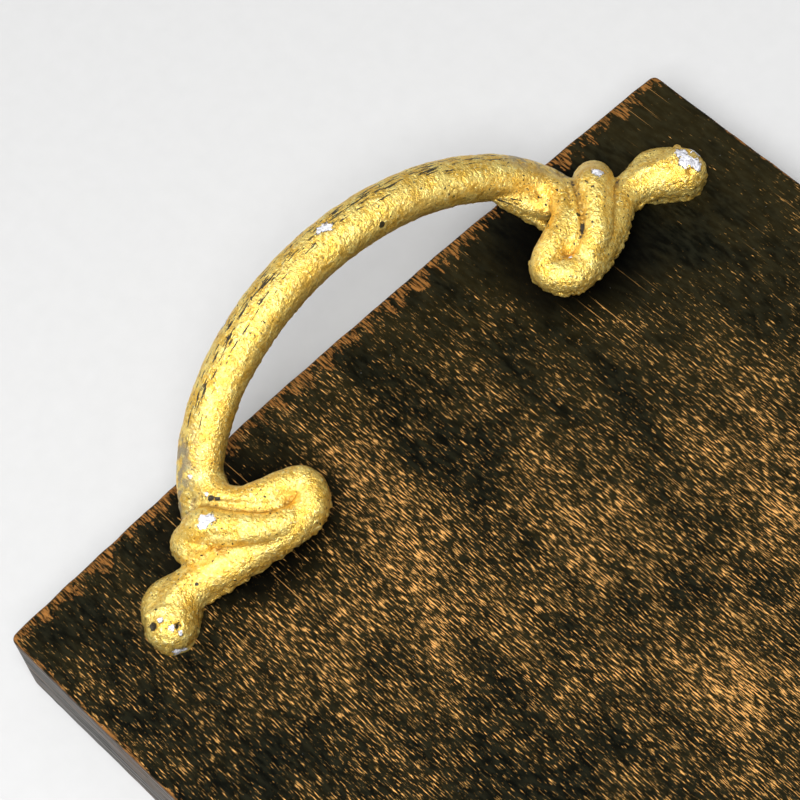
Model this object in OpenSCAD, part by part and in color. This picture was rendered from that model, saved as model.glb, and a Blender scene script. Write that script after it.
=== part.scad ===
// Rustic serving tray: one dark wooden board with a cast scroll handle at each end.
// Millimetres. The origin is the centre of the face that the tray stands on, with +Z up.
// X runs along the board from handle to handle, and Y runs across it.

/* [Board] */
// Length of the board over its bowed ends
board_length = 450; // [380:10:600]
// Width of the board
board_width = 180; // [176:1:240]
// Thickness of the board
board_thickness = 20; // [18:0.5:30]
// How far each end of the board bows outward at its middle
end_bow = 2; // [0.5:0.5:6]
// Radius of the board's four upright corners
corner_radius = 1.5; // [1:0.5:10]
// Width of the worn bevel along the board's edges
edge_bevel = 0.8; // [0.2:0.1:2]

/* [Handles] */
// How far each handle sits off the board's centre line
handle_offset = 3.5; // [0:0.5:8]
// Half of the grip's width, measured at its centre line
grip_half_span = 52; // [50:0.5:54]
// Height of the grip's half ellipse, measured in the plane that it leans in
grip_rise = 37.5; // [34:0.5:44]
// How far the ellipse's centre lies below the top of the board, in the same plane
grip_sink = 6; // [5:0.5:8]
// How far the grip leans outward from upright, in degrees
grip_lean = 32; // [28:1:36]
// Radius of the grip at its crown
grip_radius = 5.2; // [4.5:0.1:6]
// Radius of the grip where it meets its feet
leg_radius = 4.3; // [4:0.1:5]

/* [Fixings] */
// Nominal diameter of the handle screws
screw_diameter = 5; // [4:0.5:5]
// Length of the handle screws under the head
screw_length = 20; // [18:1:21]
// Diameter of the screw heads
head_diameter = 9.5; // [8:0.5:10]
// Height of the screw heads
head_height = 3.7; // [2.5:0.1:4]
// Outer diameter of the washers
washer_diameter = 11; // [10:0.5:12]
// Thickness of the washers
washer_thickness = 1; // [0.8:0.1:1.2]
// Diameter of the recesses under the board that hide the screw heads
recess_diameter = 13; // [12.5:0.5:16]
// Depth of those recesses
recess_depth = 8; // [6:0.5:9]

/* [Hidden] */

// The handles' own frame: X along the handle from its middle, Y outward past the board's end,
// Z up from the top of the board. Y is 0 on the line between the board's two corners.
corner_line = board_length / 2 - end_bow;
grip_setback = 13;

// One foot of a handle, as [x, y, z, radius] along a rounded strand. The strand leaves the grip,
// runs inward, doubles back below itself and swells into a blunt snake-like head.
STRAND = [
    [46.3, -8.5, 9.5, 4.3],
    [47, -14, 10.2, 3.5],
    [44.6, -18.4, 11, 3.2],
    [41, -20.4, 11.4, 3.2],
    [37, -21.8, 11.2, 3.2],
    [33.7, -23.4, 10.4, 3.4],
    [33.4, -25.8, 9.7, 3.6],
    [36, -28.2, 9, 3.8],
    [40.5, -28.1, 8.2, 4],
    [46, -26.4, 7, 4],
    [52, -23.8, 5.6, 4.1],
    [59, -20.8, 4.4, 4],
    [65, -21, 3.6, 4.6],
    [70.6, -24.4, 3.5, 5.2]
];
// The coil beside the grip, whose end lies along the strand, in the same form
COIL = [
    [41, -27.6, 10, 3.2],
    [45, -25.9, 10.6, 3.3],
    [48.5, -23, 11.1, 3.5],
    [51.2, -19.8, 11.2, 3.8],
    [53.2, -17, 10.5, 4.2],
    [56, -14.8, 6.5, 4.6]
];
// The wider back of the neck, where it meets the head, in the same form
SHOULDER = [
    [62, -19.5, 3, 3.6],
    [67.5, -18.8, 2.6, 4.2],
    [70, -21.5, 3, 4.5]
];
// How far below its axis a strand's underside is cut off flat, as a share of its radius
undercut = 0.35;
// Only the head, past this place along the handle, reaches down to the board.
head_start = 66;
skirt_share = 0.9;
strand_sides = 16;

// The screws enter each foot through a boss under its coil, where the casting is thickest.
screw_x = 52;
screw_y = -18.5;
boss_height = 11;
boss_foot_radius = 4.8;
boss_top_radius = 3.2;
tapped_spare = 1;
tapped_depth = screw_length - washer_thickness - (board_thickness - recess_depth) + tapped_spare;
tapped_gap = 0.1;
clearance_gap = 0.25;
washer_gap = 0.25;
seat = recess_depth - washer_thickness;
tip_chamfer = 0.6;
slot_width = 1.2;
slot_length = 5;
slot_depth = 1.8;
round_sides = 64;
// The side of a screw head from the middle of its top to its rim, as shares of its radius and height
HEAD_SIDE = [[0, 1], [0.5, 1], [0.8, 0.85], [0.95, 0.6], [1, 0.3], [1, 0]];

grip_rings = 44;
grip_sides = 20;
end_points = 16;
corner_points = 6;
below = 12;
past = 1;

// A closed solid through equal rings of points, with flat ends
module skinned(rings) {
    count = len(rings[0]);
    last = len(rings) - 1;
    sides = [
        for (i = [0 : last - 1])
            for (j = [0 : count - 1])
                let (k = (j + 1) % count)
                    each [
                        [i * count + j, (i + 1) * count + k, i * count + k],
                        [i * count + j, (i + 1) * count + j, (i + 1) * count + k]
                    ]
    ];
    first_end = [for (j = [0 : count - 1]) j];
    last_end = [for (j = [count - 1 : -1 : 0]) last * count + j];
    polyhedron([for (ring = rings) each ring], concat([first_end, last_end], sides));
}

// The quarter of the board's outline from the middle of its right end to its rear side
function quarter_outline() =
    let (flat = board_width / 2 - corner_radius)
        concat(
            [
                for (i = [0 : end_points - 1])
                    let (y = flat * i / end_points)
                        [board_length / 2 - end_bow * pow(y / flat, 2), y]
            ],
            [
                for (i = [0 : corner_points])
                    let (a = 90 * i / corner_points)
                        [
                            corner_line - corner_radius + corner_radius * cos(a),
                            flat + corner_radius * sin(a)
                        ]
            ]
        );

function reversed(list) = [for (i = [len(list) - 1 : -1 : 0]) list[i]];

// The board's whole outline, drawn in by an inset and set at a height
function board_ring(inset, height) =
    let (
        right_rear = quarter_outline(),
        left_rear = [for (p = reversed(right_rear)) [-p[0], p[1]]],
        left_front = [for (p = right_rear) if (p[1] > 0) [-p[0], -p[1]]],
        right_front = [for (p = reversed(right_rear)) if (p[1] > 0) [p[0], -p[1]]],
        outline = concat(right_rear, left_rear, left_front, right_front),
        shrink_x = 1 - inset / (board_length / 2),
        shrink_y = 1 - inset / (board_width / 2)
    )
        [for (p = outline) [p[0] * shrink_x, p[1] * shrink_y, height]];

// A point on the grip's centre line, in the handle's frame, where angle is 0 at the crown
function grip_point(angle) =
    let (rise = grip_rise * cos(angle) - grip_sink)
        [
            grip_half_span * sin(angle),
            rise * sin(grip_lean) - grip_setback,
            rise * cos(grip_lean)
        ];

// A ring of the grip, square to its centre line
function grip_ring(share) =
    let (
        last_angle = acos(grip_sink / grip_rise),
        angle = share * last_angle,
        centre = grip_point(angle),
        ahead = grip_point(angle + 1) - grip_point(angle - 1),
        along = ahead / norm(ahead),
        across = [0, cos(grip_lean), -sin(grip_lean)],
        outward = cross(along, across),
        radius = grip_radius + (leg_radius - grip_radius) * share * share
    )
        [
            for (j = [0 : grip_sides - 1])
                let (a = 360 * j / grip_sides)
                    centre + radius * (cos(a) * across + sin(a) * outward)
        ];

module grip() {
    skinned([for (i = [0 : grip_rings]) grip_ring(2 * i / grip_rings - 1)]);
}

// One bead of a strand, with its underside cut off flat
module bead(p) {
    translate([p[0], p[1], p[2]])
        intersection() {
            sphere(r = p[3], $fn = strand_sides);
            translate([-p[3], -p[3], -undercut * p[3]])
                cube([2 * p[3], 2 * p[3], (1 + undercut) * p[3]]);
        }
}

module strand(points) {
    for (i = [0 : len(points) - 2])
        hull() {
            bead(points[i]);
            bead(points[i + 1]);
        }
}

// Carries the beads of the head down to the board
module skirt(points) {
    for (p = points)
        if (p[0] > head_start)
            translate([p[0], p[1], 0])
                cylinder(h = p[2], r = skirt_share * p[3], $fn = strand_sides);
}

module foot() {
    strand(STRAND);
    strand(COIL);
    strand(SHOULDER);
    skirt(STRAND);
    skirt(SHOULDER);
    translate([screw_x, screw_y, 0])
        cylinder(h = boss_height, r1 = boss_foot_radius, r2 = boss_top_radius, $fn = round_sides);
}

// A handle in its own frame, flat underneath and tapped for its two screws
module handle() {
    difference() {
        union() {
            grip();
            foot();
            mirror([1, 0, 0])
                foot();
        }
        translate([-board_width / 2, -board_width / 2, -below])
            cube([board_width, board_width, below]);
        for (side = [-1, 1])
            translate([side * screw_x, screw_y, -past])
                cylinder(h = tapped_depth + past, d = screw_diameter + 2 * tapped_gap, $fn = round_sides);
    }
}

// Puts a handle's own frame at one end of the board: end is -1 at the left and 1 at the right
module at_end(end) {
    translate([end * corner_line, handle_offset, 0])
        rotate([0, 0, -90 * end])
            children();
}

// Puts children on the axis of one screw: side is -1 at the front and 1 at the rear
module at_screw(end, side) {
    at_end(end)
        translate([-end * side * screw_x, screw_y, 0])
            children();
}

module board() {
    color("#241c15")
        difference() {
            skinned([
                board_ring(edge_bevel, 0),
                board_ring(0, edge_bevel),
                board_ring(0, board_thickness - edge_bevel),
                board_ring(edge_bevel, board_thickness)
            ]);
            for (end = [-1, 1])
                for (side = [-1, 1])
                    at_screw(end, side) {
                        translate([0, 0, -past])
                            cylinder(
                                h = board_thickness + 2 * past,
                                d = screw_diameter + 2 * clearance_gap,
                                $fn = round_sides
                            );
                        translate([0, 0, -past])
                            cylinder(h = recess_depth + past, d = recess_diameter, $fn = round_sides);
                    }
        }
}

module placed_handle(end) {
    color("#d9ab4b")
        translate([0, 0, board_thickness])
            at_end(end)
                handle();
}

// A pan-head screw with a cross slot, head down
module screw(end, side) {
    shank = screw_diameter / 2;
    head = head_diameter / 2;
    color("#9a9a98")
        at_screw(end, side)
            difference() {
                rotate_extrude($fn = round_sides)
                    polygon([
                        for (p = HEAD_SIDE) [head * p[0], seat - head_height * p[1]],
                        [shank, seat],
                        [shank, seat + screw_length - tip_chamfer],
                        [shank - tip_chamfer, seat + screw_length],
                        [0, seat + screw_length]
                    ]);
                for (turn = [0, 90])
                    rotate([0, 0, turn])
                        translate([-slot_length / 2, -slot_width / 2, seat - head_height - past])
                            cube([slot_length, slot_width, slot_depth + past]);
            }
}

module washer(end, side) {
    color("#b3b3ae")
        at_screw(end, side)
            translate([0, 0, seat])
                difference() {
                    cylinder(h = washer_thickness, d = washer_diameter, $fn = round_sides);
                    translate([0, 0, -past])
                        cylinder(
                            h = washer_thickness + 2 * past,
                            d = screw_diameter + 2 * washer_gap,
                            $fn = round_sides
                        );
                }
}

board();
placed_handle(-1);  // left_handle
placed_handle(1);  // right_handle
screw(-1, -1);  // left_front_screw
screw(-1, 1);  // left_rear_screw
screw(1, -1);  // right_front_screw
screw(1, 1);  // right_rear_screw
washer(-1, -1);  // left_front_washer
washer(-1, 1);  // left_rear_washer
washer(1, -1);  // right_front_washer
washer(1, 1);  // right_rear_washer
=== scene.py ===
"""Looks for the serving tray: a worn wooden board with two gold-painted cast handles.

Everything is in metres in the tray's own frame: X along the board, Y across it, Z up.
A handle is built in its own frame first: X along the handle from its middle, Y outward past
the board's end, Z up from the top of the board, in millimetres.
"""
import math

import bmesh
import bpy
import numpy as np
from mathutils import Matrix, Vector, noise


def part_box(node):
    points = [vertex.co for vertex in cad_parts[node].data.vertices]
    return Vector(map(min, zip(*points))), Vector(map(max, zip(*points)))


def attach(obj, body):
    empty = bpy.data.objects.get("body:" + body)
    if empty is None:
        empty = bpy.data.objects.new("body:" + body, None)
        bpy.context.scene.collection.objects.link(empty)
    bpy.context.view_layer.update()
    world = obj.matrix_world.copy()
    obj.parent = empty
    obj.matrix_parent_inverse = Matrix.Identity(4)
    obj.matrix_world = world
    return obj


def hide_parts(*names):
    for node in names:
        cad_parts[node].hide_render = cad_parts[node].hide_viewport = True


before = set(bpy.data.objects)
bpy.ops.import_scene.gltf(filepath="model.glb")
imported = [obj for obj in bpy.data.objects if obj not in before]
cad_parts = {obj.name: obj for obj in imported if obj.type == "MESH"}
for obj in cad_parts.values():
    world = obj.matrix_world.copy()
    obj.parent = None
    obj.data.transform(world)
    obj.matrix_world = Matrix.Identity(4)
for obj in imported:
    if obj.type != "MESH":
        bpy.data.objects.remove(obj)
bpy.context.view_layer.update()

MM = 0.001
BOARD_LOW, BOARD_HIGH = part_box("board")
BOARD_TOP = BOARD_HIGH.z
END_BOW = 2 * MM
CORNER_LINE = BOARD_HIGH.x - END_BOW
HALF_LENGTH = BOARD_HIGH.x
HALF_WIDTH = BOARD_HIGH.y
HANDLE_LOW, HANDLE_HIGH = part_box("left_handle")
HANDLE_SHIFT = (HANDLE_LOW.y + HANDLE_HIGH.y) / 2


# ---------------------------------------------------------------- camera, light and floor

def aimed(obj, eye, target, roll=0.0):
    """Puts obj at eye, looking at target, turned by roll about its line of sight."""
    back = (eye - target).normalized()
    turn = back.to_track_quat("Z", "Y").to_matrix().to_4x4()
    obj.matrix_world = Matrix.Translation(eye) @ turn @ Matrix.Rotation(roll, 4, "Z")


def direction(azimuth, elevation):
    """Unit vector towards a viewer at this azimuth, counted from -Y towards +X, and elevation."""
    a, e = math.radians(azimuth), math.radians(elevation)
    return Vector((math.sin(a) * math.cos(e), -math.cos(a) * math.cos(e), math.sin(e)))


# the photograph's view, from a fit to the board's corners: millimetres, degrees and metres
LENS = 148.3
VIEW_AZIMUTH, VIEW_ELEVATION, VIEW_ROLL = 61.06, 57.51, -16.51
VIEW_DISTANCE = 0.6614
# the point looked at, inward from the middle of the board's left end
TARGET_INWARD, TARGET_SIDEWAYS = 20.5 * MM, -1 * MM


def add_camera():
    """A long lens over the left end of the board, rolled a little."""
    data = bpy.data.cameras.new("camera")
    data.lens = LENS
    data.clip_start, data.clip_end = 0.05, 20
    camera = bpy.data.objects.new("camera", data)
    bpy.context.scene.collection.objects.link(camera)
    target = Vector((BOARD_LOW.x + TARGET_INWARD, TARGET_SIDEWAYS, BOARD_TOP))
    eye = target + direction(VIEW_AZIMUTH, VIEW_ELEVATION) * VIEW_DISTANCE
    aimed(camera, eye, target, math.radians(VIEW_ROLL))
    bpy.context.scene.camera = camera


def add_softbox(name, azimuth, elevation, distance, size, watts):
    """A square lamp aimed at the board's left end."""
    data = bpy.data.lights.new(name, "AREA")
    data.shape = "SQUARE"
    data.size = size
    data.energy = watts
    light = bpy.data.objects.new(name, data)
    bpy.context.scene.collection.objects.link(light)
    target = Vector((BOARD_LOW.x, 0, 0))
    aimed(light, target + direction(azimuth, elevation) * distance, target)


SKY_LOW, SKY_HIGH = 0.25, 0.62
SKY_FROM, SKY_TO = -0.1, 1.0


def add_light():
    """A key light behind the camera, a weak side light and a sky that is brighter overhead."""
    add_softbox("key", azimuth=50, elevation=60, distance=1.2, size=0.6, watts=20)
    add_softbox("side", azimuth=-60, elevation=45, distance=1.5, size=0.9, watts=4.5)
    world = bpy.data.worlds.new("studio")
    bpy.context.scene.world = world
    world.use_nodes = True
    nodes, links = world.node_tree.nodes, world.node_tree.links
    nodes.clear()
    place = nodes.new("ShaderNodeTexCoord")
    split = nodes.new("ShaderNodeSeparateXYZ")
    ramp = nodes.new("ShaderNodeMapRange")
    ramp.inputs["From Min"].default_value = SKY_FROM
    ramp.inputs["From Max"].default_value = SKY_TO
    ramp.inputs["To Min"].default_value = SKY_LOW
    ramp.inputs["To Max"].default_value = SKY_HIGH
    back = nodes.new("ShaderNodeBackground")
    out = nodes.new("ShaderNodeOutputWorld")
    links.new(place.outputs["Generated"], split.inputs[0])
    links.new(split.outputs["Z"], ramp.inputs["Value"])
    links.new(ramp.outputs["Result"], back.inputs["Strength"])
    links.new(back.outputs[0], out.inputs["Surface"])
    bpy.context.scene.view_settings.view_transform = "Standard"


# ---------------------------------------------------------------- material graph helper

class Graph:
    """A node material with short calls for the nodes that the looks use."""

    def __init__(self, name):
        self.material = bpy.data.materials.new(name)
        self.material.use_nodes = True
        self.tree = self.material.node_tree
        self.tree.nodes.clear()
        self.shader = self.tree.nodes.new("ShaderNodeBsdfPrincipled")
        out = self.tree.nodes.new("ShaderNodeOutputMaterial")
        self.tree.links.new(self.shader.outputs[0], out.inputs["Surface"])
        self.place = self.tree.nodes.new("ShaderNodeTexCoord").outputs["Object"]

    def put(self, socket, value):
        if isinstance(value, bpy.types.NodeSocket):
            self.tree.links.new(value, socket)
        else:
            socket.default_value = value

    def math(self, kind, a, b=0.0):
        node = self.tree.nodes.new("ShaderNodeMath")
        node.operation = kind
        self.put(node.inputs[0], a)
        self.put(node.inputs[1], b)
        return node.outputs[0]

    def stretch(self, scale, vector=None):
        node = self.tree.nodes.new("ShaderNodeVectorMath")
        node.operation = "MULTIPLY"
        self.put(node.inputs[0], vector or self.place)
        node.inputs[1].default_value = scale
        return node.outputs[0]

    def noise(self, scale, detail=3.0, roughness=0.55, vector=None, warp=0.0):
        node = self.tree.nodes.new("ShaderNodeTexNoise")
        node.inputs["Scale"].default_value = 1.0
        node.inputs["Detail"].default_value = detail
        node.inputs["Roughness"].default_value = roughness
        node.inputs["Distortion"].default_value = warp
        self.put(node.inputs["Vector"], self.stretch(scale, vector))
        return node.outputs["Fac"]

    def step(self, value, low, high):
        """0 below low, 1 above high, smooth between them; low may be the larger."""
        node = self.tree.nodes.new("ShaderNodeMapRange")
        node.interpolation_type = "SMOOTHSTEP"
        self.put(node.inputs["Value"], value)
        self.put(node.inputs["From Min"], low)
        self.put(node.inputs["From Max"], high)
        return node.outputs["Result"]

    def mix(self, share, a, b):
        node = self.tree.nodes.new("ShaderNodeMix")
        node.data_type = "RGBA"
        self.put(node.inputs[0], share)
        for socket, value in ((node.inputs[6], a), (node.inputs[7], b)):
            self.put(socket, value if isinstance(value, bpy.types.NodeSocket) else (*value, 1))
        return node.outputs[2]

    def attribute(self, name):
        node = self.tree.nodes.new("ShaderNodeAttribute")
        node.attribute_name = name
        return node.outputs["Fac"]

    def split(self):
        node = self.tree.nodes.new("ShaderNodeSeparateXYZ")
        self.put(node.inputs[0], self.place)
        return node.outputs

    def join(self, x, y, z):
        node = self.tree.nodes.new("ShaderNodeCombineXYZ")
        for socket, value in zip(node.inputs, (x, y, z)):
            self.put(socket, value)
        return node.outputs[0]

    def bump(self, height, depth, strength=1.0, below=None):
        node = self.tree.nodes.new("ShaderNodeBump")
        node.inputs["Strength"].default_value = strength
        node.inputs["Distance"].default_value = depth
        self.put(node.inputs["Height"], height)
        if below:
            self.put(node.inputs["Normal"], below)
        return node.outputs[0]

    def set(self, **values):
        for name, value in values.items():
            self.put(self.shader.inputs[name.replace("_", " ").title().replace("Ior", "IOR")], value)


# ---------------------------------------------------------------- materials

# how far in from the board's ends the stain is darkest, and where its rubbed middle starts
DARK_BAND, RUBBED_MIDDLE = 6 * MM, 22 * MM
# how far the worn arris reaches in from an end, its even line, and how much narrower it is at a side
WORN_REACH, WORN_LINE, SIDE_NARROWING = 4.6 * MM, 0.9 * MM, 5.0
# a foot's middle, in from the board's end and sideways from the handle's middle
FOOT_INWARD, FOOT_SIDEWAYS = 20 * MM, 45 * MM
# the painted shade round a foot is full inside the first distance from its middle and gone past the
# second
FOOT_SHADE_FULL, FOOT_SHADE_GONE = 10 * MM, 24 * MM


def painted_foot_shade(g, x, y):
    """1 on the board close to each foot of the handles, where painted shade stands in for the shadows
    that they cast on it.

    The shift changes sign with the end, but both handles sit to +Y. So the dark places are right
    at the left end, which the photograph shows, and 7 mm off at the right end.
    """
    across = g.math("ADD", y, g.math("MULTIPLY", g.math("SIGN", x), HANDLE_SHIFT))
    inward = g.math("SUBTRACT", g.math("ABSOLUTE", x), HALF_LENGTH - FOOT_INWARD)
    sideways = g.math("SUBTRACT", g.math("ABSOLUTE", across), FOOT_SIDEWAYS)
    gap = g.math("SQRT", g.math("ADD", g.math("POWER", inward, 2.0), g.math("POWER", sideways, 2.0)))
    return g.step(gap, FOOT_SHADE_GONE, FOOT_SHADE_FULL)


def rubbing_and_foot_shade(g, y, from_end, from_side, turned, foot_shade):
    """Where the stain is rubbed most: in the middle, and least at one corner. By each foot of the handles
    it also thins the flecks, as painted shade.
    """
    middle = g.math("MULTIPLY", g.step(from_end, DARK_BAND, RUBBED_MIDDLE), 0.045)
    middle = g.math("ADD", middle, g.math("MULTIPLY", g.step(from_side, 0.0, 50 * MM), 0.012))
    corner = g.math("MULTIPLY", g.step(g.math("MULTIPLY", y, turned), 20 * MM, -85 * MM), 0.13)
    corner = g.math("MULTIPLY", corner, g.step(from_end, 100 * MM, 15 * MM))
    # fewer flecks round each foot of the handles: painted shade
    return g.math("SUBTRACT", middle, g.math("ADD", corner, g.math("MULTIPLY", foot_shade, 0.09)))


def worn_arris(g, z, inset):
    """The ragged line of bare wood along the top edges."""
    ragged = g.noise((190, 420, 420), detail=4, roughness=0.7)
    reach = g.math("MULTIPLY", g.step(ragged, 0.36, 0.66), WORN_REACH)
    near = g.step(g.math("SUBTRACT", inset, reach), WORN_LINE, 0.1 * MM)
    arris = g.math("MULTIPLY", near, g.step(z, BOARD_TOP - 1.8 * MM, BOARD_TOP - 0.6 * MM))
    splinters = g.noise((260, 2300, 900), detail=3, roughness=0.6)
    return g.math("MULTIPLY", arris, g.step(splinters, 0.42, 0.60))


def flank_colour(g):
    """Grey sawn streaks along the board's sides, with a few warm ones."""
    streak = g.noise((22, 55, 1000), detail=4, roughness=0.7)
    grey = g.mix(g.step(streak, 0.40, 0.64), (0.014, 0.014, 0.013), (0.22, 0.208, 0.192))
    warm = g.step(g.noise((40, 40, 600), detail=3), 0.52, 0.66)
    return g.mix(g.math("MULTIPLY", warm, 0.4), grey, (0.17, 0.085, 0.035))


def wood_material():
    """Near-black stain, rubbed through to orange wood in short flecks along the grain."""
    g = Graph("worn_black_stain")
    x, y, z = g.split()
    ay = g.math("ABSOLUTE", y)
    bow = g.math("MULTIPLY", g.math("POWER", g.math("DIVIDE", ay, HALF_WIDTH), 2.0), END_BOW)
    from_end = g.math("SUBTRACT", g.math("SUBTRACT", HALF_LENGTH, bow), g.math("ABSOLUTE", x))
    from_side = g.math("SUBTRACT", HALF_WIDTH, ay)
    foot_shade = painted_foot_shade(g, x, y)

    patches = g.noise((24, 42, 30), detail=3, roughness=0.6)
    cloud = g.noise((95, 230, 90), detail=3, roughness=0.6)
    density = g.math("ADD", g.math("MULTIPLY", patches, 0.24), g.math("MULTIPLY", cloud, 0.18))
    rubbing_and_shade = rubbing_and_foot_shade(g, y, from_end, from_side, g.math("SIGN", x), foot_shade)
    threshold = g.math("SUBTRACT", g.math("SUBTRACT", 0.823, rubbing_and_shade), density)
    grain = g.noise((430, 3300, 1500), detail=3, roughness=0.6, warp=0.1)
    over = g.math("SUBTRACT", grain, threshold)
    hairs = g.noise((30, 2500, 900), detail=2, roughness=0.5)
    hairs = g.math("MULTIPLY", g.step(hairs, 0.68, 0.73), g.step(density, 0.19, 0.24))
    hairs = g.math("MULTIPLY", hairs, 0.7)
    rubbed = g.math("MAXIMUM", g.step(over, -0.02, 0.03), hairs)
    bright = g.math("MAXIMUM", g.step(over, 0.01, 0.13), hairs)

    tone = g.noise((300, 900, 500), detail=3)
    stain = g.mix(g.step(tone, 0.35, 0.7), (0.0012, 0.0014, 0.0006), (0.0095, 0.0095, 0.0050))
    wash = g.math("MULTIPLY", g.step(density, 0.15, 0.27), 0.28)
    stain = g.mix(wash, stain, (0.046, 0.034, 0.010))
    # painted shade: the stain goes almost black round each foot of the handles, where their shadows fall
    # on the board
    stain = g.mix(g.math("MULTIPLY", foot_shade, 0.9), stain, (0.0006, 0.0006, 0.0005))
    glow = g.mix(bright, (0.115, 0.066, 0.018), (0.70, 0.355, 0.105))
    colour = g.mix(rubbed, stain, glow)

    inset = g.math("MINIMUM", from_end, g.math("MULTIPLY", from_side, SIDE_NARROWING))
    brown = g.mix(tone, (0.11, 0.042, 0.010), (0.46, 0.20, 0.050))
    colour = g.mix(g.math("MULTIPLY", worn_arris(g, z, inset), 0.85), colour, brown)
    dust = g.step(g.noise((1500, 2400, 1500), detail=1), 0.80, 0.83)
    colour = g.mix(g.math("MULTIPLY", dust, 0.5), colour, (0.45, 0.45, 0.47))
    side = g.step(z, BOARD_TOP - 0.7 * MM, BOARD_TOP - 1.6 * MM)
    colour = g.mix(side, colour, flank_colour(g))

    rough = g.math("ADD", 0.45, g.math("MULTIPLY", rubbed, 0.2))
    relief = g.math("ADD", g.math("MULTIPLY", grain, 0.6), g.math("MULTIPLY", rubbed, -0.3))
    g.set(base_color=colour, roughness=rough, normal=g.bump(relief, 0.10 * MM, 0.5))
    g.shader.inputs["Specular IOR Level"].default_value = 0.04
    return g.material


def gold_paint(g, sand, mottle, hollow):
    """Gold that is mottled, with painted shade between the grains of the casting and in its hollows, and
    painted glints on the grains.
    """
    broad = g.noise((70, 70, 70), detail=2)
    gold = g.mix(g.step(mottle, 0.35, 0.68), (0.86, 0.53, 0.080), (1.0, 0.77, 0.22))
    # painted shade between the sand grains, in the low places of the bump
    gold = g.mix(g.math("MULTIPLY", g.step(sand, 0.46, 0.34), 0.65), gold, (0.42, 0.23, 0.035))
    # painted glints: pale yellow on the tops of the sand grains
    gold = g.mix(g.math("MULTIPLY", g.step(sand, 0.54, 0.66), 0.75), gold, (1.0, 0.90, 0.42))
    gold = g.mix(g.math("MULTIPLY", g.step(broad, 0.50, 0.30), 0.30), gold, (0.60, 0.34, 0.060))
    # painted shade in the casting's hollows and creases
    return g.mix(g.math("MULTIPLY", g.step(hollow, 0.25, 1.0), 0.65), gold, (0.40, 0.20, 0.030))


def scratches(g):
    """Fine black lines along the grip, where it is scraped."""
    lengthwise = g.join(g.attribute("run"), g.attribute("girth"), 0.0)
    lines = g.noise((210, 1500, 1), detail=3, roughness=0.7, vector=lengthwise)
    cut = g.math("SUBTRACT", 0.80, g.math("MULTIPLY", g.attribute("scraped"), 0.28))
    return g.step(lines, cut, g.math("ADD", cut, 0.04))


def small_pits(g, pits):
    """Scattered black pinholes, more of them in some places."""
    zones = g.noise((95, 95, 95), detail=2, roughness=0.5)
    cut = g.math("SUBTRACT", 0.79, g.math("MULTIPLY", zones, 0.22))
    return g.step(pits, cut, g.math("ADD", cut, 0.03))


def gold_material():
    """Gold paint over a dark undercoat on a sandy casting, with pits, scratches and chips."""
    g = Graph("gold_painted_casting")
    hollow = g.attribute("hollow")
    sand = g.noise((1350, 1350, 1350), detail=3, roughness=0.7)
    mottle = g.noise((330, 330, 330), detail=4, roughness=0.6)
    pits = g.noise((1250, 1250, 1250), detail=2, roughness=0.5)
    flakes = g.noise((650, 650, 650), detail=4, roughness=0.7)

    uneven = g.math("MULTIPLY", g.math("SUBTRACT", flakes, 0.5), 2.2)
    chip_field = g.math("ADD", g.attribute("chipped"), uneven)
    chip = g.step(chip_field, 0.58, 0.64)
    halo = g.math("MULTIPLY", g.step(chip_field, 0.40, 0.52), g.step(pits, 0.46, 0.52))
    rough_edge = g.math("MULTIPLY", g.math("SUBTRACT", pits, 0.5), 0.8)
    deep_pits = g.step(g.math("ADD", g.attribute("pitted"), rough_edge), 0.48, 0.56)
    # black in the deepest creases where the mottle is high: painted shade
    deep_crease_shade = g.math("MULTIPLY", g.step(hollow, 0.8, 1.0), g.step(mottle, 0.58, 0.64))
    black = small_pits(g, pits)
    for mark in (scratches(g), deep_crease_shade, halo, deep_pits):
        black = g.math("MAXIMUM", black, mark)
    worn = g.step(g.noise((500, 500, 120), detail=3), 0.40, 0.56)
    bare = g.math("MULTIPLY", g.attribute("bare"), worn)

    metal = g.mix(g.step(sand, 0.4, 0.6), (0.50, 0.50, 0.54), (0.86, 0.86, 0.90))
    colour = g.mix(g.math("MULTIPLY", bare, 0.8), gold_paint(g, sand, mottle, hollow), (0.16, 0.15, 0.14))
    colour = g.mix(g.math("MULTIPLY", black, 0.97), colour, (0.005, 0.004, 0.003))
    colour = g.mix(chip, colour, metal)
    dull = g.math("MAXIMUM", black, g.math("MULTIPLY", bare, 0.6))
    metallic = g.math("SUBTRACT", 0.80, g.math("MULTIPLY", dull, 0.6))
    metallic = g.math("SUBTRACT", metallic, g.math("MULTIPLY", chip, 0.35))
    rough = g.math("ADD", 0.27, g.math("MULTIPLY", sand, 0.16))
    grit = g.bump(sand, 0.44 * MM, 1.0)
    lumps = g.bump(mottle, 0.30 * MM, 0.45, below=grit)
    g.set(base_color=colour, metallic=metallic, roughness=rough, normal=lumps)
    return g.material


def steel_material(name, light, dark):
    """Zinc-plated steel with a fine turned grain and dull spots."""
    g = Graph(name)
    spots = g.noise((900, 900, 900), detail=4, roughness=0.6)
    grain = g.noise((300, 300, 5200), detail=3)
    colour = g.mix(g.step(spots, 0.35, 0.65), light, dark)
    rough = g.math("ADD", 0.24, g.math("MULTIPLY", spots, 0.25))
    g.set(base_color=colour, roughness=rough, normal=g.bump(grain, 0.03 * MM, 0.4))
    g.shader.inputs["Metallic"].default_value = 1.0
    return g.material


def floor_material():
    """Pale matt cloth."""
    g = Graph("pale_floor")
    cloth = g.noise((240, 240, 240), detail=3)
    colour = g.mix(cloth, (0.52, 0.52, 0.52), (0.555, 0.555, 0.555))
    g.set(base_color=colour)
    g.shader.inputs["Roughness"].default_value = 0.9
    g.shader.inputs["Specular IOR Level"].default_value = 0.1
    return g.material


# ---------------------------------------------------------------- mesh helpers

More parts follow.
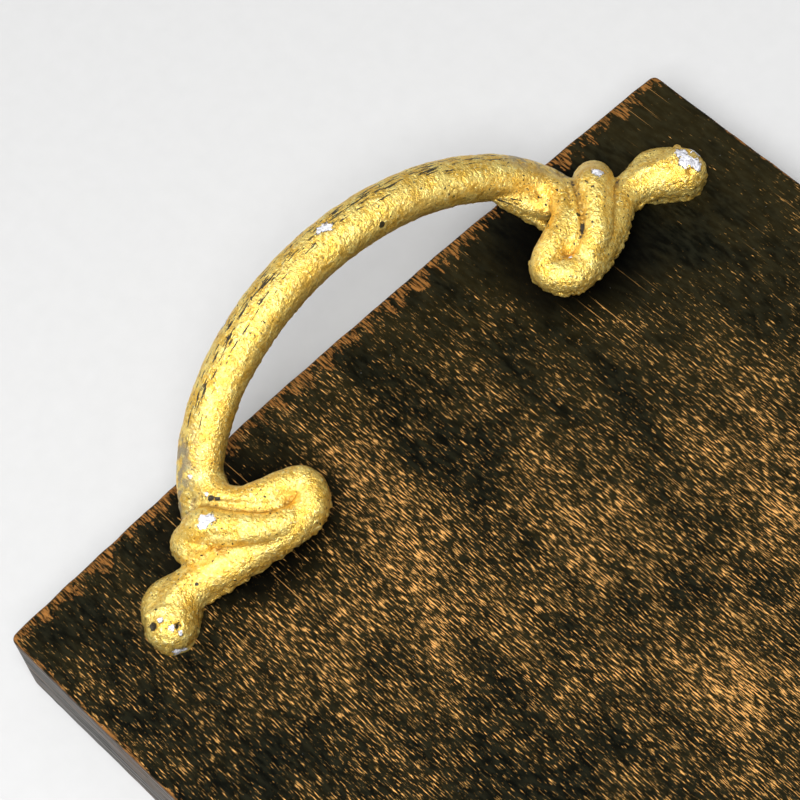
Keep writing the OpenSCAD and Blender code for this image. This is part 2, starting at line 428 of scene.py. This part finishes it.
def spline(points, per_span):
    """A Catmull-Rom curve through rows of numbers, with per_span steps between rows."""
    rows = np.array(points, float)
    rows = np.vstack([2 * rows[0] - rows[1], rows, 2 * rows[-1] - rows[-2]])
    out = []
    for i in range(1, len(rows) - 2):
        a, b, c, d = rows[i - 1 : i + 3]
        for t in np.arange(per_span) / per_span:
            linear = (c - a) * t
            square = (2 * a - 5 * b + 4 * c - d) * t**2
            cubic = (3 * b - a - 3 * c + d) * t**3
            out.append(0.5 * (2 * b + linear + square + cubic))
    out.append(rows[-2])
    return np.array(out)


def add_rings(mesh, rings):
    """Adds a closed skin through rings of points, with both ends filled."""
    made = [[mesh.verts.new(p) for p in ring] for ring in rings]
    count = len(made[0])
    for near, far in zip(made, made[1:]):
        for j in range(count):
            k = (j + 1) % count
            mesh.faces.new((near[j], near[k], far[k], far[j]))
    mesh.faces.new(made[0][::-1])
    mesh.faces.new(made[-1])


def sweep_frames(path):
    """Unit tangents of a path, with two directions across it that turn as little as they can."""
    ahead = np.gradient(path, axis=0)
    ahead /= np.linalg.norm(ahead, axis=1)[:, None]
    up = np.array([0, 0, 1.0]) if abs(ahead[0][2]) < 0.9 else np.array([0, 1.0, 0])
    across = []
    for t in ahead:
        up = up - t * np.dot(up, t)
        up /= np.linalg.norm(up)
        across.append(up)
    across = np.array(across)
    return ahead, across, np.cross(ahead, across)


def add_tube(mesh, path, radii, sides=28, section=None, flat=1.0):
    """A tube with domed ends. section(angle) scales its radius, and flat is how far below its
    axis the underside is cut off, as a share of the radius."""
    ahead, up, side = sweep_frames(path)
    angles = np.linspace(0, 2 * math.pi, sides, endpoint=False)

    def ring(i, radius, shift):
        centre = path[i] + ahead[i] * shift
        points = []
        for a in angles:
            out = math.cos(a) * up[i] + math.sin(a) * side[i]
            scale = (section(a) if section else 1.0) * flat / max(flat, -out[2])
            points.append(Vector(centre + radius * scale * out))
        return points

    dome = [math.radians(a) for a in (80, 60, 40, 20)]
    rings = [ring(0, radii[0] * math.cos(a), -radii[0] * math.sin(a)) for a in dome]
    rings += [ring(i, radii[i], 0) for i in range(len(path))]
    rings += [ring(len(path) - 1, radii[-1] * math.cos(a), radii[-1] * math.sin(a)) for a in dome[::-1]]
    add_rings(mesh, rings)


def add_column(mesh, centre, radius, low, high, flare=1.0, sides=20):
    """An upright cylinder from low to high, or a cone whose foot is flare times as wide."""
    angles = np.linspace(0, 2 * math.pi, sides, endpoint=False)
    rings = [
        [Vector((centre[0] + r * math.cos(a), centre[1] + r * math.sin(a), z)) for a in angles]
        for z, r in ((low, radius * flare), (high, radius))
    ]
    add_rings(mesh, rings)


def finished_object(name, mesh):
    """An object in the scene, made from a bmesh that is then freed."""
    data = bpy.data.meshes.new(name)
    mesh.to_mesh(data)
    mesh.free()
    obj = bpy.data.objects.new(name, data)
    bpy.context.scene.collection.objects.link(obj)
    return obj


def apply_modifiers(obj):
    """Bakes an object's modifiers into its mesh."""
    bpy.context.view_layer.update()
    seen = obj.evaluated_get(bpy.context.evaluated_depsgraph_get())
    data = bpy.data.meshes.new_from_object(seen)
    obj.modifiers.clear()
    old, obj.data = obj.data, data
    bpy.data.meshes.remove(old)


# ---------------------------------------------------------------- handles

GRIP_HALF_SPAN = 52.0
GRIP_RISE = 37.5
GRIP_SINK = 6.0
GRIP_LEAN = math.radians(32)
GRIP_SETBACK = 13.0
GRIP_RADIUS = 5.2
LEG_RADIUS = 4.3

# x, y, z and radius along one foot's strand, from the grip to the tip of the head
STRAND = [
    (46.3, -8.5, 9.5, 4.3),
    (47, -14, 10.2, 3.5),
    (44.6, -18.4, 11, 3.2),
    (41, -20.4, 11.4, 3.2),
    (37, -21.8, 11.2, 3.2),
    (33.7, -23.4, 10.4, 3.4),
    (33.4, -25.8, 9.7, 3.6),
    (36, -28.2, 9, 3.8),
    (40.5, -28.1, 8.2, 4),
    (46, -26.4, 7, 4),
    (52, -23.8, 5.6, 4.1),
    (59, -20.8, 4.4, 4),
    (65, -21, 3.6, 4.6),
    (70.6, -24.4, 3.5, 5.2),
]
# the coil beside the grip, whose end lies along the strand
COIL = [
    (41, -27.6, 10, 3.2),
    (45, -25.9, 10.6, 3.3),
    (48.5, -23, 11.1, 3.5),
    (51.2, -19.8, 11.2, 3.8),
    (53.2, -17, 10.5, 4.2),
    (56, -14.8, 6.5, 4.6),
]
# the wider back of the neck, where it meets the head
SHOULDER = [(62, -19.5, 3, 3.6), (67.5, -18.8, 2.6, 4.2), (70, -21.5, 3, 4.5)]
# thin folds on the casting: from the grip round the hook, along the neck, beside the coil, the brow
FOLDS = [
    [
        (50.2, -12.5, 11.0, 1.5),
        (49, -15, 12, 1.5),
        (46.9, -18.6, 12.6, 1.5),
        (43.8, -22, 12.3, 1.6),
        (40.5, -23.4, 11.3, 1.9),
        (37.4, -23.8, 10.6, 1.8),
    ],
    [
        (48, -25.6, 9.4, 0.9),
        (52, -24, 8.6, 1.2),
        (58, -21.3, 7.5, 1.3),
        (63, -20.9, 7.3, 1.4),
        (68, -22, 7.8, 1.0),
    ],
    [(58.5, -18.8, 6.8, 0.9), (54.5, -21.2, 8.2, 0.9), (50, -24.4, 9.2, 0.7)],
    [(72.8, -21.2, 7.0, 0.9), (70.3, -22.9, 8.0, 1.0), (67.8, -25.2, 7.3, 0.9)],
]
# the rear foot's neck bends in and is slimmer, and the front foot's bends out and is fuller
NECK_PLACE = 57
NECK_SPREAD = 7
NECK_BELOW = 8.7
NECK_SWAY = 1.1
NECK_SLIMMER = 0.35
# flash along the parting line, round the loop and neck
FLASH = [
    (32.5, -20, 9.2, 0.7),
    (30.7, -23, 8.8, 0.9),
    (31.1, -27, 8.2, 0.9),
    (33.2, -29.8, 7.6, 0.9),
    (37, -31, 7, 0.9),
    (42.5, -30.5, 6.2, 0.8),
    (49.5, -28.2, 5, 0.8),
    (56, -25.4, 3.8, 0.7),
    (62, -24.2, 2.6, 0.7),
]
# a fin of flash under the grip's inner side at one foot only
FIN = [(36.5, -5.2, 15.2, 1.4), (38.8, -8.2, 11.8, 1.6), (40.8, -11.2, 8.6, 1.7), (41.6, -14.2, 6.6, 1.0)]
FIN_ROOT = [(38, -4.8, 15.4, 2.4), (41, -8.8, 11.4, 2.8), (43.6, -12.6, 9.6, 2.6)]
# grooves between the strands, as x, y, width and depth along each
GROOVES = [
    [
        (51.8, -11.0, 0.5, 0.2),
        (50.3, -14, 0.6, 0.55),
        (48.8, -17, 0.6, 0.6),
        (46.6, -20.4, 0.6, 0.5),
        (43.6, -24.0, 0.6, 0.4),
        (40.4, -25.8, 0.6, 0.35),
        (37.8, -25.4, 0.6, 0.2),
    ],
    [(51.6, -9.2, 0.5, 0.2), (49.6, -13.1, 0.5, 0.4), (47.2, -16.6, 0.5, 0.4), (45.4, -19.0, 0.5, 0.1)],
    [(59, -17.8, 0.6, 0.4), (55.5, -20, 0.6, 0.45), (51.5, -23.6, 0.6, 0.3), (48.5, -26.2, 0.6, 0.1)],
]

# how far below its axis a strand's underside is cut off flat, as a share of its radius
UNDERCUT = 0.35
# only the head, past this place along the handle, reaches down to the board
HEAD_START = 66
SKIRT_SHARE = 0.9
# the boss under each coil, which a screw enters from below
BOSS_PLACE = (52, -18.5)
BOSS_HEIGHT, BOSS_RADIUS, BOSS_FLARE = 11, 3.2, 1.5
# how far the casting is built below the board's top before it is cut off flat there
BURIED = 2.0
STEPS_PER_SPAN = 8
GRIP_STEPS = 90
VOXEL, QUICK_VOXEL = 0.36, 0.8


def grip_path(steps):
    """Centre line of the grip from one board-level leg end to the other."""
    last = math.acos(GRIP_SINK / GRIP_RISE)
    angle = np.linspace(-last, last, steps)
    rise = GRIP_RISE * np.cos(angle) - GRIP_SINK
    path = np.stack(
        [
            GRIP_HALF_SPAN * np.sin(angle),
            rise * math.sin(GRIP_LEAN) - GRIP_SETBACK,
            rise * math.cos(GRIP_LEAN),
        ],
        axis=1,
    )
    share = np.linspace(-1, 1, steps)
    return path, GRIP_RADIUS + (LEG_RADIUS - GRIP_RADIUS) * share**2


def grip_section(angle):
    """The grip isn't quite round: it has a soft crest on its outer side and flatter flanks."""
    return 1.0 + 0.025 * math.cos(3 * (angle - 0.4)) + 0.02 * math.cos(2 * angle)


def foot_line(points, foot):
    """A smooth line through a foot's points, with the neck of each foot bent its own way."""
    line = spline(points, STEPS_PER_SPAN)
    neck = np.exp(-(((line[:, 0] - NECK_PLACE) / NECK_SPREAD) ** 2)) * (line[:, 2] < NECK_BELOW)
    line[:, 1] += foot * NECK_SWAY * neck
    line[:, 3] -= foot * NECK_SLIMMER * neck
    line[:, 0] *= foot
    return line


def add_foot(mesh, foot):
    """One foot. foot is -1 or 1, and puts its points on the left or the right of the handle."""
    for points in (STRAND, COIL, SHOULDER):
        line = foot_line(points, foot)
        skirt = line[np.abs(line[:, 0]) > HEAD_START]
        add_tube(mesh, line[:, :3], line[:, 3], flat=UNDERCUT)
        for x, y, z, r in skirt:
            add_column(mesh, (x, y), r * SKIRT_SHARE, -BURIED, z)
    x, y = BOSS_PLACE
    add_column(mesh, (foot * x, y), BOSS_RADIUS, -BURIED, BOSS_HEIGHT, BOSS_FLARE)
    for points in FOLDS + [FLASH] + ([FIN, FIN_ROOT] if foot > 0 else []):
        line = foot_line(points, foot)
        add_tube(mesh, line[:, :3], line[:, 3], sides=14)


def build_handle_shape():
    """The casting in its own frame, in millimetres, as one closed mesh."""
    mesh = bmesh.new()
    path, radii = grip_path(GRIP_STEPS)
    add_tube(mesh, path, radii, sides=40, section=grip_section)
    for foot in (-1, 1):
        add_foot(mesh, foot)
    obj = finished_object("casting", mesh)
    remesh = obj.modifiers.new("remesh", "REMESH")
    remesh.mode = "VOXEL"
    remesh.voxel_size = VOXEL
    relax = obj.modifiers.new("relax", "SMOOTH")
    relax.factor = 0.5
    relax.iterations = 2
    apply_modifiers(obj)
    return obj


def surface_arrays(data):
    """Vertex places, normals and edges of a mesh as arrays."""
    count = len(data.vertices)
    places = np.empty(count * 3)
    normals = np.empty(count * 3)
    data.vertices.foreach_get("co", places)
    data.vertices.foreach_get("normal", normals)
    edges = np.empty(len(data.edges) * 2, int)
    data.edges.foreach_get("vertices", edges)
    return places.reshape(-1, 3), normals.reshape(-1, 3), edges.reshape(-1, 2)


# grooves are pressed only into faces that look up at least this much, and above this height
GROOVE_FACING, GROOVE_LOW = 0.1, 5
GROOVE_STEPS = 10


def move_vertices(data, places):
    """Puts a mesh's vertices at new places."""
    data.vertices.foreach_set("co", places.ravel())
    data.update()


def carve_grooves(obj):
    """Deepens the creases between the strands on the casting's upper side."""
    data = obj.data
    places, normals, _ = surface_arrays(data)
    upper = (normals[:, 2] > GROOVE_FACING) & (places[:, 2] > GROOVE_LOW)
    for points in GROOVES:
        for foot in (-1, 1):
            line = spline(points, GROOVE_STEPS)
            gap = np.full(len(places), np.inf)
            press = np.zeros(len(places))
            for x, y, width, depth in line:
                away = np.hypot(places[:, 0] - foot * x, places[:, 1] - y)
                near = away < gap
                gap[near] = away[near]
                press[near] = (depth * np.exp(-((away / width) ** 2)))[near]
            places = places - normals * (press * upper)[:, None]
    move_vertices(data, places)


def neighbour_mean(values, edges):
    """Each vertex's mean over the vertices that share an edge with it."""
    total = np.zeros_like(values)
    count = np.zeros(len(values))
    for a, b in ((0, 1), (1, 0)):
        np.add.at(total, edges[:, a], values[edges[:, b]])
        np.add.at(count, edges[:, a], 1)
    count = np.maximum(count, 1)
    return total / (count[:, None] if values.ndim > 1 else count)


def smoothed(values, edges, times):
    """Values blurred over the surface, one edge further each time."""
    for _ in range(times):
        values = 0.5 * values + 0.5 * neighbour_mean(values, edges)
    return values


def store(data, name, values):
    """Keeps one number a vertex under a name, for the materials."""
    attribute = data.attributes.get(name) or data.attributes.new(name, "FLOAT", "POINT")
    attribute.data.foreach_set("value", np.asarray(values, np.float32))


def curvature(places, normals, edges, blur):
    """Positive in hollows and negative on crests, over a patch of about blur edges."""
    flat = smoothed(places, edges, blur)
    return ((flat - places) * normals).sum(1)


def ramped(values, low, high):
    """0 at low and 1 at high, straight between them; low may be the larger."""
    return np.clip((values - low) / (high - low), 0, 1)


# Where these numbers come from: the x and y of 8 chips, 6 pits, both eyes and one groove point, and
# the z of two chips, are what a scratch script worked out from points picked on the photograph
# through the fitted camera. They weren't chosen by hand. The rest was set from such measures.

# chips down to bare metal on the left handle, as x, y, z and radius in the handle's frame
CHIPS = [
    (-52.6, -18.3, 15.0, 2.0),
    (-53.9, -18.4, 14.6, 1.4),
    (-72.0, -24.4, 8.2, 0.7),
    (-71.8, -27.2, 8.0, 1.0),
    (-70.9, -28.5, 6.5, 0.7),
    (-72.8, -29.1, 1.5, 2.0),
    (-48.5, -13.0, 13.0, 0.6),
    (54.6, -17.4, 14.4, 1.5),
    (71.8, -23.5, 8.3, 1.8),
    (71.3, -25.4, 8.3, 1.9),
    (72.2, -27.0, 7.4, 1.8),
    (74.9, -24.0, 5.5, 1.8),
    (41.3, -27.0, 12.0, 0.9),
    (37.5, -26.6, 12.0, 0.5),
    (2.3, 4.2, 31.9, 1.6),
    (3.6, 3.6, 31.9, 1.2),
    (-23.4, 6.2, 25.9, 1.5),
    (-48.5, -8.0, 14.0, 0.7),
]
# deep pits where the paint is missing, in the same form
PITS = [
    (-73.8, -23.9, 7.3, 1.0),
    (-70.3, -27.7, 7.5, 0.9),
    (-62.0, -23.7, 8.0, 0.55),
    (-48.6, -14.2, 12.8, 0.9),
    (-47.8, -15.5, 12.8, 0.9),
    (-58.6, -16.6, 6.2, 1.6),
    (45.2, -21.4, 13.6, 0.6),
    (62.5, -18.6, 6.5, 0.7),
    (75.4, -22.6, 6.0, 1.3),
    (12.1, -1.7, 28.0, 0.8),
]
# directions round the grip, in radians from the outer side of its arch towards its lean
ANGLE_OF_SCRAPES = -0.35
ANGLE_OF_BARE = -0.05
ANGLE_OF_PITS = -2.8
# bends, as the depth of a hollow in millimetres, at which the painted shade in the creases starts and
# ends
HOLLOW_FROM, HOLLOW_TO = 0.01, 0.10
BEND_BLUR, QUICK_BEND_BLUR = 6, 3
# distances from the grip's centre line beyond and within which a place counts as on the grip
OFF_GRIP, ON_GRIP = 7.5, 6.0
GIRTH_RADIUS = 5
MEASURING_STEPS = 200
MEASURING_BATCH = 4000


def grip_coordinates(places):
    """For each place: how far along the grip, its share of the length, the angle, and its distance."""
    path, _ = grip_path(MEASURING_STEPS)
    ahead, _, _ = sweep_frames(path)
    lengths = np.concatenate([[0], np.cumsum(np.linalg.norm(np.diff(path, axis=0), axis=1))])
    lengths -= lengths[-1] / 2
    nearest = np.empty(len(places), int)
    for start in range(0, len(places), MEASURING_BATCH):
        part = places[start : start + MEASURING_BATCH]
        gaps = np.linalg.norm(part[:, None] - path[None], axis=2)
        nearest[start : start + MEASURING_BATCH] = gaps.argmin(1)
    out = places - path[nearest]
    outward = np.array([0, math.cos(GRIP_LEAN), -math.sin(GRIP_LEAN)])
    radial = np.cross(ahead[nearest], outward)
    angle = np.arctan2(out @ outward, (out * radial).sum(1))
    run = lengths[nearest]
    return run, np.abs(run) / lengths[-1], angle, np.linalg.norm(out, axis=1)


def mark_wear_and_crease_shade(obj):
    """Stores how hollow the casting is, for the painted shade in its creases, where it is scraped and
    bare of paint, and places along the grip.
    """
    data = obj.data
    places, normals, edges = surface_arrays(data)
    bend = curvature(places, normals, edges, BEND_BLUR)
    bend = smoothed(bend, edges, 2)
    store(data, "hollow", ramped(bend, HOLLOW_FROM, HOLLOW_TO))

    run, level, angle, away = grip_coordinates(places)
    store(data, "run", run * MM)
    store(data, "girth", angle * GIRTH_RADIUS * MM)
    on_grip = ramped(away, OFF_GRIP, ON_GRIP)
    outer_top = np.clip(np.cos(angle - ANGLE_OF_SCRAPES), 0, 1) ** 2
    inner_side = np.clip(np.cos(angle - ANGLE_OF_PITS), 0, 1) ** 2
    scraped = outer_top * ramped(level, 0.95, 0.6) + inner_side * ramped(level, 0.45, 0.65)
    store(data, "scraped", on_grip * np.clip(scraped, 0, 1))
    leg = ramped(level, 0.62, 0.72) * ramped(level, 1.0, 0.9)
    store(data, "bare", on_grip * leg * np.clip(np.cos(angle - ANGLE_OF_BARE) * 1.6 - 0.6, 0, 1))


def mark_chips(data, side):
    """Stores the chips and pits. The other handle has them on its opposite feet."""
    places, _, _ = surface_arrays(data)
    for name, spots in (("chipped", CHIPS), ("pitted", PITS)):
        depth = np.zeros(len(places))
        for x, y, z, r in spots:
            gap = np.linalg.norm(places - np.array([-side * x, y, z]), axis=1)
            depth = np.maximum(depth, ramped(gap, r * 1.5, r * 0.3))
        store(data, name, depth)


# the casting's unevenness, in layers of waves per millimetre and height in millimetres
COARSE = [(0.30, 0.14)]
FINE = [(1.1, 0.08), (2.3, 0.05)]
RAGGED = [(0.75, 0.5), (1.7, 0.35)]


def uneven(place, layers):
    """Noise at a place, added up over layers."""
    return sum(noise.noise(place * waves) * height for waves, height in layers)


def roughen(obj, seed):
    """Moves the surface in and out a little, as sand casting does, most along the undersides."""
    data = obj.data
    places, normals, _ = surface_arrays(data)
    shift = np.empty(len(places))
    for i, (p, n) in enumerate(zip(places, normals)):
        v = Vector(p) + Vector((seed, 0, 0))
        under = min(1.0, max(0.0, 0.35 - n[2]) * 2) * (1.0 if p[2] < 9 else 0.3)
        shift[i] = uneven(v, COARSE) + uneven(v, FINE) + uneven(v, RAGGED) * under
    move_vertices(data, places + normals * shift[:, None])


def cut_flat(obj, level):
    """Cuts the casting off flat where it sits on the board."""
    mesh = bmesh.new()
    mesh.from_mesh(obj.data)
    everything = mesh.verts[:] + mesh.edges[:] + mesh.faces[:]
    cut = bmesh.ops.bisect_plane(
        mesh, geom=everything, dist=1e-5, plane_co=(0, 0, level), plane_no=(0, 0, 1), clear_inner=True
    )
    rim = [e for e in cut["geom_cut"] if isinstance(e, bmesh.types.BMEdge)]
    bmesh.ops.holes_fill(mesh, edges=rim, sides=0)
    mesh.to_mesh(obj.data)
    mesh.free()


# the head's two eye pits, as x, y and z in the handle's frame
EYES = [(73.8, -23.9, 7.5), (70.3, -27.7, 7.5)]
EYE_RADIUS = 0.9
EYE_DEPTH = 0.7


def press_eyes(obj):
    """Presses the head's two shallow eye pits into the casting."""
    data = obj.data
    places, normals, _ = surface_arrays(data)
    for x, y, z in EYES:
        for sign in (-1, 1):
            gap = np.linalg.norm(places - np.array([sign * x, y, z]), axis=1)
            press = EYE_DEPTH * np.clip(1 - (gap / EYE_RADIUS) ** 2, 0, 1)
            places = places - normals * press[:, None]
    move_vertices(data, places)


def place_handle(casting, node, end):
    """Copies the casting to a node's end of the board: end is -1 at the left, 1 at the right."""
    obj = casting.copy()
    obj.data = casting.data.copy()
    mark_chips(obj.data, end)
    obj.name = obj.data.name = f"{node}_casting"
    bpy.context.scene.collection.objects.link(obj)
    low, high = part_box(node)
    middle = (low.y + high.y) / 2
    turn = Matrix.Rotation(-end * math.pi / 2, 4, "Z")
    move = Matrix.Translation((end * CORNER_LINE, middle, BOARD_TOP))
    obj.data.transform(move @ turn @ Matrix.Scale(MM, 4))
    for polygon in obj.data.polygons:
        polygon.use_smooth = True
    return obj


def add_handles(gold):
    """Both handles, as two copies of one casting."""
    casting = build_handle_shape()
    carve_grooves(casting)
    press_eyes(casting)
    mark_wear_and_crease_shade(casting)
    roughen(casting, seed=3.0)
    cut_flat(casting, 0.0)
    for node, end in (("left_handle", -1), ("right_handle", 1)):
        obj = place_handle(casting, node, end)
        obj.data.materials.clear()
        obj.data.materials.append(gold)
        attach(obj, "root")
        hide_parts(node)
    bpy.data.objects.remove(casting)


# ---------------------------------------------------------------- board

CORNER_RADIUS = 1.5 * MM
CORNER_POINTS = 7
ARRIS_STEPS = 6


def board_outline(spacing):
    """Points round the board, with the outward direction at each, starting at the right end."""
    flat = HALF_WIDTH - CORNER_RADIUS
    quarter = []
    for y in np.linspace(0, flat, int(flat / spacing) + 1)[:-1]:
        quarter.append((HALF_LENGTH - END_BOW * (y / flat) ** 2, y))
    for a in np.linspace(0, math.pi / 2, CORNER_POINTS):
        quarter.append(
            (
                CORNER_LINE - CORNER_RADIUS + CORNER_RADIUS * math.cos(a),
                flat + CORNER_RADIUS * math.sin(a),
            )
        )
    last = CORNER_LINE - CORNER_RADIUS
    for x in np.linspace(last, 0, int(last / spacing) + 1)[1:]:
        quarter.append((x, HALF_WIDTH))
    half = quarter + [(-x, y) for x, y in quarter[-2::-1]]
    ring = half + [(x, -y) for x, y in half[-2:0:-1]]
    points = np.array(ring)
    ahead = np.roll(points, -1, axis=0) - np.roll(points, 1, axis=0)
    outward = np.stack([ahead[:, 1], -ahead[:, 0]], axis=1)
    return points, outward / np.linalg.norm(outward, axis=1)[:, None]


def add_board(wood):
    """The board with worn, slightly uneven edges and the recesses for its screws."""
    spacing = 1.6 * MM
    points, outward = board_outline(spacing)
    height = BOARD_TOP - BOARD_LOW.z

    def wear(point, level):
        """How far the edge is rounded over at a point of the outline."""
        p = Vector((point[0], point[1], level)) / MM
        return (1.15 + 0.55 * noise.noise(p * 0.035) + 0.4 * noise.noise(p * 0.22)) * MM

    def ring(angle, top):
        made = []
        for p, out in zip(points, outward):
            radius = wear(p, 0 if top else 50)
            inset = radius * (1 - math.cos(angle))
            drop = radius * (1 - math.sin(angle))
            dent = 0.10 * MM * noise.noise(Vector((p[0], p[1], 7 if top else 9)) / (2.5 * MM))
            x, y = p - out * (inset + abs(dent))
            made.append(Vector((x, y, BOARD_TOP - drop if top else BOARD_LOW.z + drop)))
        return made

    turns = [math.pi / 2 * i / ARRIS_STEPS for i in range(ARRIS_STEPS + 1)]
    rings = [ring(a, top=False) for a in reversed(turns)]
    for level in (0.25, 0.5, 0.75):
        made = []
        for p, out in zip(points, outward):
            wave = 0.12 * MM * noise.noise(Vector((p[0], p[1], level)) / (9 * MM))
            x, y = p - out * abs(wave)
            made.append(Vector((x, y, BOARD_LOW.z + height * level)))
        rings.append(made)
    rings += [ring(a, top=True) for a in turns]
    mesh = bmesh.new()
    add_rings(mesh, rings)
    for face in mesh.faces:
        face.smooth = len(face.verts) == 4
    obj = finished_object("worn_board", mesh)
    drill_board(obj)
    obj.data.materials.append(wood)
    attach(obj, "root")
    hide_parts("board")


SCREWS = [f"{side}_{end}" for side in ("left", "right") for end in ("front", "rear")]
CLEARANCE_RADIUS = 2.75 * MM
RECESS_RADIUS = 6.5 * MM


def drill_board(obj):
    """Drills the four screw holes and their recesses from below."""
    mesh = bmesh.new()
    for name in SCREWS:
        low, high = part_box(f"{name}_washer")
        x, y = (low.x + high.x) / 2, (low.y + high.y) / 2
        for radius, top in ((CLEARANCE_RADIUS, BOARD_TOP + MM), (RECESS_RADIUS, high.z)):
            add_column(mesh, (x, y), radius, BOARD_LOW.z - MM, top, sides=64)
    cutter = finished_object("drill", mesh)
    hole = obj.modifiers.new("drill", "BOOLEAN")
    hole.operation = "DIFFERENCE"
    hole.solver = "EXACT"
    hole.use_self = True
    hole.object = cutter
    apply_modifiers(obj)
    bpy.data.objects.remove(cutter)


# ---------------------------------------------------------------- the rest

def finish_fixings():
    """The screws and washers keep their CAD shapes and get steel finishes."""
    screw = steel_material("zinc_screw", (0.56, 0.56, 0.55), (0.30, 0.29, 0.28))
    washer = steel_material("zinc_washer", (0.66, 0.66, 0.64), (0.42, 0.41, 0.39))
    for name in SCREWS:
        for kind, material in (("screw", screw), ("washer", washer)):
            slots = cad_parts[f"{name}_{kind}"].data.materials
            slots.clear()
            slots.append(material)


def add_floor():
    """A plain floor under the tray, which isn't part of it."""
    mesh = bmesh.new()
    bmesh.ops.create_grid(mesh, x_segments=2, y_segments=2, size=3.0)
    floor = finished_object("floor", mesh)
    floor.data.materials.append(floor_material())


add_camera()
add_light()
add_floor()
add_board(wood_material())
add_handles(gold_material())
finish_fixings()
